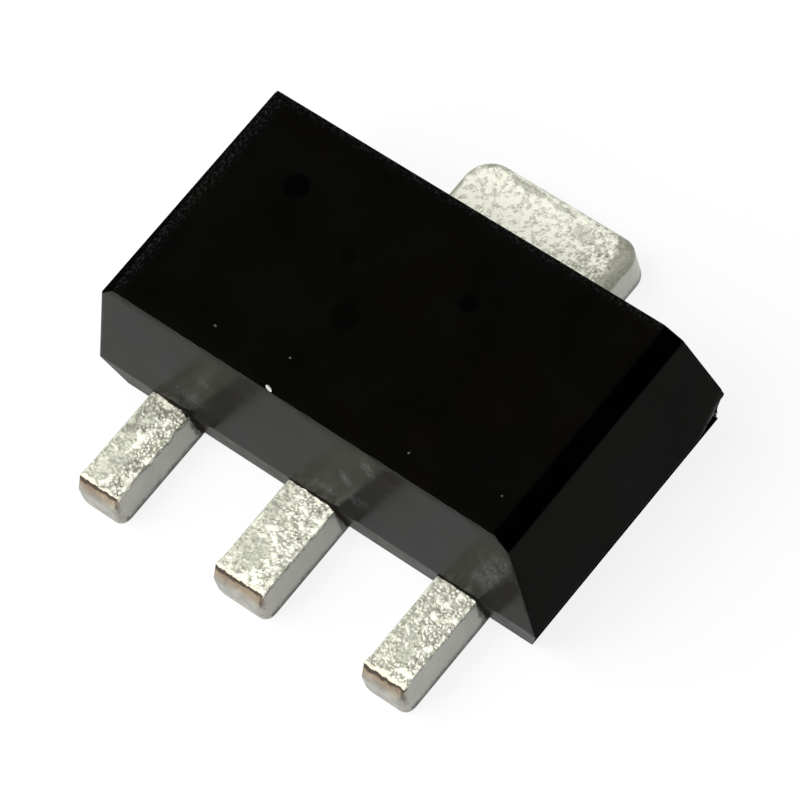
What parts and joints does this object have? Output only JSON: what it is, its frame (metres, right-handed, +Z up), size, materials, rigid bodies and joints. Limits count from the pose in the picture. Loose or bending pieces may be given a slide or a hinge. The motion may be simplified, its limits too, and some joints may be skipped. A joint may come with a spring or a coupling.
{
  "type": "voltage regulator",
  "caption": "Surface-mount linear voltage regulator: black moulded body with leads along the front, a wide heat tab behind, and a die wired up inside.",
  "frame": {"origin": "on the seating plane, under the middle of the whole part, leads and tab included", "axes": "+X along the moulded body, -Y towards the side of the leads, +Y towards the heat tab, +Z up, away from the circuit board"},
  "size_m": [0.0046, 0.0042, 0.0015],
  "materials": {
    "moulding_compound": "matte black moulded epoxy with a fine grain, glossier on the sides",
    "tinned_copper": "matte granular tin over copper, bare copper on the cropped tips",
    "silicon": "polished grey silicon",
    "die_attach_solder": "dull grey solder",
    "bond_wire_gold": "bright drawn gold wire"
  },
  "bodies": {
    "root": {"moulded_body": "moulding_compound", "heat_tab_and_centre_lead": "tinned_copper", "left_lead": "tinned_copper", "right_lead": "tinned_copper", "silicon_die": "silicon", "die_attach": "die_attach_solder", "left_bond_wire": "bond_wire_gold", "right_bond_wire": "bond_wire_gold", "ground_bond_wire": "bond_wire_gold"}
  },
  "joints": []
}
